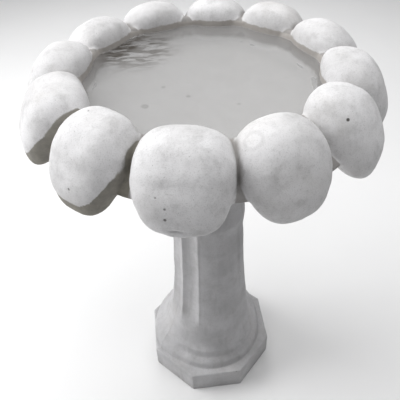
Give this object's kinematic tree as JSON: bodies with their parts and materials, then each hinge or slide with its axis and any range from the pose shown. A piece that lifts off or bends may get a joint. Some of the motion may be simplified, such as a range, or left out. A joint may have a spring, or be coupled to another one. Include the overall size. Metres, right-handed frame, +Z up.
{
  "type": "bird bath",
  "caption": "Cast-stone bird bath: a shallow round basin with a rim of cobble-like petals, standing loose on a fluted column with an octagonal plinth.",
  "frame": {"origin": "middle of the plinth's underside, on the ground", "axes": "+Z up the middle of the column; -Y is the front, square to one side of the octagonal plinth"},
  "size_m": [0.5494, 0.5494, 0.7756],
  "materials": {
    "bowl_stone": "weathered grey cast stone, stained at the waterline",
    "pedestal_stone": "weathered grey cast stone",
    "bar_steel": "plain mild steel bar, cast in"
  },
  "bodies": {
    "pedestal": {"pedestal": "pedestal_stone", "pedestal_core_bar": "bar_steel"},
    "bowl": {"bowl": "bowl_stone", "bowl_rim_hoop": "bar_steel", "bowl_floor_bars": "bar_steel"}
  },
  "joints": [
    {"name": "bowl_lift", "type": "slide", "parent": "pedestal", "child": "bowl", "axis": [0, 0, 1], "range_m": [0, 0.12]}
  ]
}
